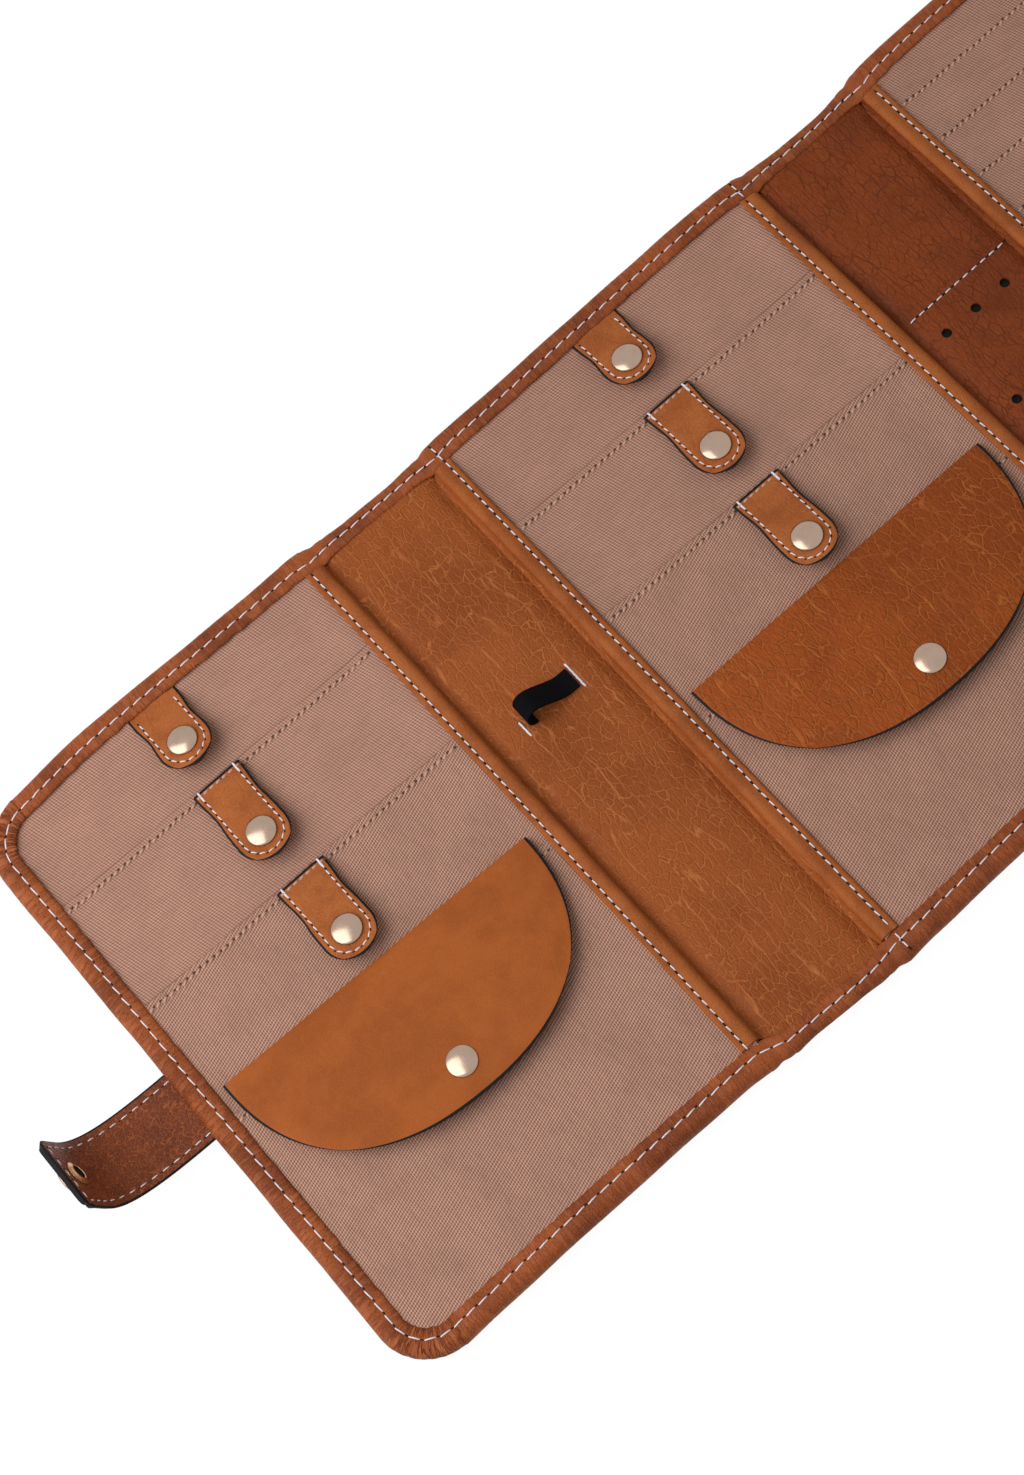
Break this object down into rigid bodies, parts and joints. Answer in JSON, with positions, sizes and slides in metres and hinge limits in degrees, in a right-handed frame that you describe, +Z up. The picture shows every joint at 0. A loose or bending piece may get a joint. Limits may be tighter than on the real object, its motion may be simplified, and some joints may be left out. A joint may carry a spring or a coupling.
{
  "type": "knitting needle case",
  "caption": "Folding leather and canvas case for circular knitting needles, with snap tabs over its pockets, half-moon pocket flaps, needle sleeves and a snap strap that closes it.",
  "frame": {"origin": "centre of the middle panel's underside, on the face that the open case lies on", "axes": "+X along the open case towards the needle sleeves, +Y along the folds towards the upper tabs, +Z up out of the pockets"},
  "size_m": [0.5217, 0.224, 0.0328],
  "materials": {
    "canvas": "twill",
    "felt": "matte",
    "cover_leather": "satin",
    "spine_leather": "creased satin",
    "edge_leather": "satin",
    "tab_leather": "nubuck",
    "flap_leather": "satin",
    "strap_leather": "satin",
    "elastic": "ribbed",
    "snap_metal": "polished"
  },
  "bodies": {
    "middle": {"middle_cover": "cover_leather", "middle_padding": "felt", "middle_lining": "canvas", "middle_pocket_upper": "canvas", "middle_pocket_centre": "canvas", "middle_pocket_lower": "canvas", "middle_binding_top": "edge_leather", "middle_binding_bottom": "edge_leather", "middle_piping_left": "edge_leather", "middle_piping_right": "edge_leather", "middle_stud_tab_upper": "snap_metal", "middle_stud_tab_centre": "snap_metal", "middle_stud_tab_lower": "snap_metal", "middle_stud_flap": "snap_metal"},
    "middle_upper_tab": {"middle_tab_upper": "tab_leather", "middle_snap_tab_upper": "snap_metal"},
    "middle_centre_tab": {"middle_tab_centre": "tab_leather", "middle_snap_tab_centre": "snap_metal"},
    "middle_lower_tab": {"middle_tab_lower": "tab_leather", "middle_snap_tab_lower": "snap_metal"},
    "middle_pocket_flap": {"middle_flap": "flap_leather", "middle_snap_flap": "snap_metal"},
    "left_spine": {"left_spine_cover": "cover_leather", "left_spine_lining": "spine_leather", "left_spine_binding_top": "edge_leather", "left_spine_binding_bottom": "edge_leather", "elastic_loop": "elastic"},
    "left": {"left_cover": "cover_leather", "left_padding": "felt", "left_lining": "canvas", "left_pocket_upper": "canvas", "left_pocket_centre": "canvas", "left_pocket_lower": "canvas", "left_binding": "edge_leather", "left_piping": "edge_leather", "left_stud_tab_upper": "snap_metal", "left_stud_tab_centre": "snap_metal", "left_stud_tab_lower": "snap_metal", "left_stud_flap": "snap_metal"},
    "left_upper_tab": {"left_tab_upper": "tab_leather", "left_snap_tab_upper": "snap_metal"},
    "left_centre_tab": {"left_tab_centre": "tab_leather", "left_snap_tab_centre": "snap_metal"},
    "left_lower_tab": {"left_tab_lower": "tab_leather", "left_snap_tab_lower": "snap_metal"},
    "left_pocket_flap": {"left_flap": "flap_leather", "left_snap_flap": "snap_metal"},
    "right_spine": {"right_spine_cover": "cover_leather", "right_spine_lining": "spine_leather", "right_spine_binding_top": "edge_leather", "right_spine_binding_bottom": "edge_leather", "strap_stud": "snap_metal"},
    "right": {"right_cover": "cover_leather", "right_lining": "canvas", "right_sleeves": "canvas", "right_binding": "edge_leather", "right_piping": "edge_leather"},
    "strap": {"strap_base": "strap_leather"},
    "strap_tip": {"strap_end": "strap_leather", "strap_snap": "snap_metal"}
  },
  "joints": [
    {"name": "left_spine_fold", "type": "hinge", "parent": "middle", "child": "left_spine", "pos_m": [-0.0686, 0, 0.0048], "axis": [0, -1, 0], "range_deg": [-90, 0]},
    {"name": "left_panel_fold", "type": "hinge", "parent": "left_spine", "child": "left", "pos_m": [-0.1122, 0, 0.0048], "axis": [0, -1, 0], "range_deg": [-82, 0]},
    {"name": "right_spine_fold", "type": "hinge", "parent": "middle", "child": "right_spine", "pos_m": [0.0686, 0, 0.0048], "axis": [0, 1, 0], "range_deg": [-90, 0]},
    {"name": "right_panel_fold", "type": "hinge", "parent": "right_spine", "child": "right", "pos_m": [0.1122, 0, 0.0048], "axis": [0, 1, 0], "range_deg": [-96, 0]},
    {"name": "strap_lift", "type": "hinge", "parent": "left", "child": "strap", "pos_m": [-0.2527, -0.0018, 0.0026], "axis": [0, -1, 0], "range_deg": [-73, 0]},
    {"name": "strap_bend", "type": "hinge", "parent": "strap", "child": "strap_tip", "pos_m": [-0.28538, -0.0018, 0.01197], "axis": [0, 1, 0], "range_deg": [-53, 10]},
    {"name": "middle_upper_tab_lift", "type": "hinge", "parent": "middle", "child": "middle_upper_tab", "pos_m": [0, 0.1026, 0.0066], "axis": [-1, 0, 0], "range_deg": [0, 100]},
    {"name": "middle_centre_tab_lift", "type": "hinge", "parent": "middle", "child": "middle_centre_tab", "pos_m": [0, 0.06955, 0.00725], "axis": [-1, 0, 0], "range_deg": [0, 110]},
    {"name": "middle_lower_tab_lift", "type": "hinge", "parent": "middle", "child": "middle_lower_tab", "pos_m": [0, 0.0276, 0.0079], "axis": [-1, 0, 0], "range_deg": [0, 110]},
    {"name": "middle_flap_lift", "type": "hinge", "parent": "middle", "child": "middle_pocket_flap", "pos_m": [0, -0.00875, 0.0078], "axis": [-1, 0, 0], "range_deg": [0, 95]},
    {"name": "left_upper_tab_lift", "type": "hinge", "parent": "left", "child": "left_upper_tab", "pos_m": [-0.1816, 0.1026, 0.0066], "axis": [-1, 0, 0], "range_deg": [0, 100]},
    {"name": "left_centre_tab_lift", "type": "hinge", "parent": "left", "child": "left_centre_tab", "pos_m": [-0.1816, 0.07155, 0.00725], "axis": [-1, 0, 0], "range_deg": [0, 110]},
    {"name": "left_lower_tab_lift", "type": "hinge", "parent": "left", "child": "left_lower_tab", "pos_m": [-0.1816, 0.0296, 0.0079], "axis": [-1, 0, 0], "range_deg": [0, 110]},
    {"name": "left_flap_lift", "type": "hinge", "parent": "left", "child": "left_pocket_flap", "pos_m": [-0.1816, -0.00675, 0.0078], "axis": [-1, 0, 0], "range_deg": [0, 95]}
  ]
}
